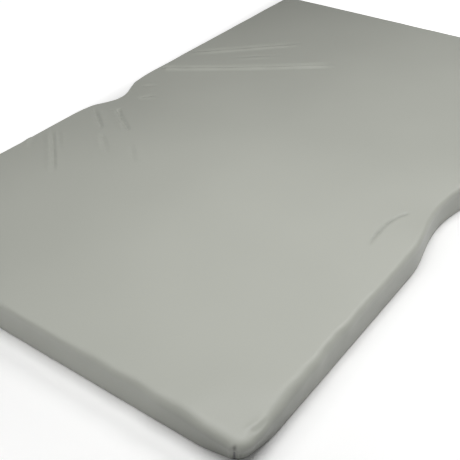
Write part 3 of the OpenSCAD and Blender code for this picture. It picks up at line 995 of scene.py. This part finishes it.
hem_stitches = make_stitches("hem_stitches", -ZIP_HALF + 4 * MM, ZIP_HALF - 4 * MM,
                             [(FOOT_Y + 0.2 * MM, HEM_Z + 2.2 * MM)], 3.6 * MM)
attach(hem_stitches, "foot_half")
tape_stitches = make_stitches("tape_stitches", TAPE_LOW.x + 4 * MM, TAPE_HIGH.x - 4 * MM,
                              [(TAPE_HIGH.y + 0.05 * MM, COIL_TOP + 1.0 * MM),
                               (LOWER_TAPE_HIGH.y + 0.05 * MM, COIL_BASE - 1.0 * MM),
                               (LOWER_TAPE_HIGH.y + 0.05 * MM, LOWER_TAPE_LOW.z + 2.5 * MM)], 3.0 * MM)
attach(tape_stitches, "foot_half")


# ---------------------------- tapes inside the corners
def make_corner_tapes(name, node, end, body):
    """Welded tape behind the two corner seams of one end, on the inner face of the cover."""
    inset = CLOTH + 1.6 * MM
    half_x, half_y = HALF_W - inset, FOOT_Y - inset
    reach = np.linspace(-11 * MM, 11 * MM, 9)
    rise = np.linspace(9 * MM, TOP - ROLL_DEPTH - 2 * MM, 12)
    points, faces = [], []
    for side in (-1, 1):
        first = len(points)
        turn = NEAR_SEAM_TURN if side > 0 and end < 0 else 0
        shift = (1 - 1 / math.tan(math.pi / 4 + turn)) * (CORNER_R - inset)
        for z in rise:
            for s in reach + shift:
                x = half_x - max(s, 0)
                y = half_y - max(-s, 0)
                points.append((side * x, end * y, z))
        for quad in grid_faces(len(reach), len(rise), first):
            faces.append(quad if side * end < 0 else quad[::-1])
    points = rounded(np.array(points), half_x, half_y, 0, TOP, CORNER_R - inset, EDGE_R, HEM_R)
    piece = make_mesh(name, settle(points), faces)
    thicken(piece, 0.3 * MM, 0.0)
    dress(piece, seam_tape)
    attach(piece, body)
    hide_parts(node)


make_corner_tapes("corner_seam_tapes_foot", "corner_tapes_foot", 1, "foot_half")
make_corner_tapes("corner_seam_tapes_head", "corner_tapes_head", -1, "head_half")


# ---------------------------- CAD pieces that keep their shape
# They get softened edges and their own material.
for node, material, edge in (
    ("zip_slider", nickel, 0.25 * MM),
    ("zip_pull_tab", nickel, 0.25 * MM),
    ("zip_end_stops", nickel, 0.3 * MM),
):
    piece = frame["nodes"][node]
    dress(piece, material)
    bevel = piece.modifiers.new("soft_edges", "BEVEL")
    bevel.width = edge
    bevel.segments = 2
    bevel.limit_method = "ANGLE"


# ---------------------------- floor, light and camera
def make_stage():
    """A plain white floor that glows a little, more so away from the mattress, as in a lit studio."""
    size = 60.0
    floor = make_mesh("floor", [(-size, -size, 0), (size, -size, 0), (size, size, 0), (-size, size, 0)],
                      [(0, 1, 2, 3)])
    material, nodes, links = shader("floor")
    skin = nodes["Principled BSDF"]
    skin.inputs["Base Color"].default_value = (0.93, 0.93, 0.925, 1)
    skin.inputs["Roughness"].default_value = 0.85
    place = nodes.new("ShaderNodeTexCoord").outputs["Object"]
    split = nodes.new("ShaderNodeSeparateXYZ")
    links.new(place, split.inputs["Vector"])
    # How far a place lies from the mattress: in full behind it and on its left, less on the other sides
    gaps = []
    for axis, half, behind in (("X", HALF_W, -1), ("Y", FOOT_Y, 1)):
        for way, share in ((behind, 1.0), (-behind, 0.2)):
            gap = combine(nodes, links, "MULTIPLY", split.outputs[axis], way * share)
            gaps.append(combine(nodes, links, "SUBTRACT", gap, half * share))
    away = gaps[0]
    for gap in gaps[1:]:
        away = combine(nodes, links, "MAXIMUM", away, gap)
    glow = nodes.new("ShaderNodeMapRange")
    glow.interpolation_type = "SMOOTHSTEP"
    glow.inputs["From Min"].default_value = 0.0
    glow.inputs["From Max"].default_value = 0.25
    glow.inputs["To Min"].default_value = 0.07
    glow.inputs["To Max"].default_value = 0.76
    links.new(away, glow.inputs["Value"])
    skin.inputs["Emission Color"].default_value = (1, 1, 1, 1)
    links.new(glow.outputs["Result"], skin.inputs["Emission Strength"])
    dress(floor, material)
    floor.location.z = -0.3 * MM


def soft_box(name, place, target, power):
    """A square area light."""
    light = bpy.data.lights.new(name, "AREA")
    light.shape = "SQUARE"
    light.size = 1.0
    light.energy = power
    lamp = bpy.data.objects.new(name, light)
    lamp.location = place
    lamp.rotation_euler = (Vector(target) - Vector(place)).to_track_quat("-Z", "Y").to_euler()
    bpy.context.scene.collection.objects.link(lamp)


def make_light():
    """A pale sky that darkens overhead, and four soft boxes over the mattress and in front of it."""
    world = bpy.data.worlds.new("studio")
    world.use_nodes = True
    nodes, links = world.node_tree.nodes, world.node_tree.links
    split = nodes.new("ShaderNodeSeparateXYZ")
    links.new(nodes.new("ShaderNodeTexCoord").outputs["Generated"], split.inputs["Vector"])
    sky = ramp_node(nodes, links, split.outputs["Z"], (0.78, 0.78, 0.78), (0.07, 0.07, 0.07), 0.0, 0.40)
    sky.color_ramp.elements.new(0.10).color = (0.24, 0.24, 0.24, 1)
    links.new(sky.outputs["Color"], nodes["Background"].inputs["Color"])
    nodes["Background"].inputs["Strength"].default_value = 1.0
    bpy.context.scene.world = world
    soft_box("near_right", (0.5, -0.8, 1.7), (0.5, -0.8, 0), 18.5)
    soft_box("near_left", (-0.5, -0.8, 1.7), (-0.5, -0.8, 0), 2.5)
    soft_box("far_right", (0.7, 0.9, 1.9), (0.7, 0.9, 0), 23.5)
    soft_box("front_left", (-0.9, -2.0, 2.2), (-0.3, -0.8, 0), 10.5)
    bpy.context.scene.view_settings.view_transform = "Standard"


def make_camera():
    """Looks down at the mattress over its near corner. A camera roll keeps the view's slight tilt."""
    azimuth, elevation, roll = math.radians(37.14), math.radians(35.99), math.radians(-1.44)
    aim = Vector((0.1794, -0.4673, 0.0759))
    distance = 2.02
    back = Vector((math.sin(azimuth) * math.cos(elevation), -math.cos(azimuth) * math.cos(elevation),
                   math.sin(elevation)))
    camera = bpy.data.objects.new("camera", bpy.data.cameras.new("camera"))
    camera.data.lens = 62.6
    camera.data.sensor_width = 36
    camera.location = aim + back * distance
    look = (-back).to_track_quat("-Z", "Y").to_matrix().to_4x4()
    camera.rotation_euler = (look @ Matrix.Rotation(roll, 4, "Z")).to_euler()
    bpy.context.scene.collection.objects.link(camera)
    bpy.context.scene.camera = camera


make_stage()
make_light()
make_camera()
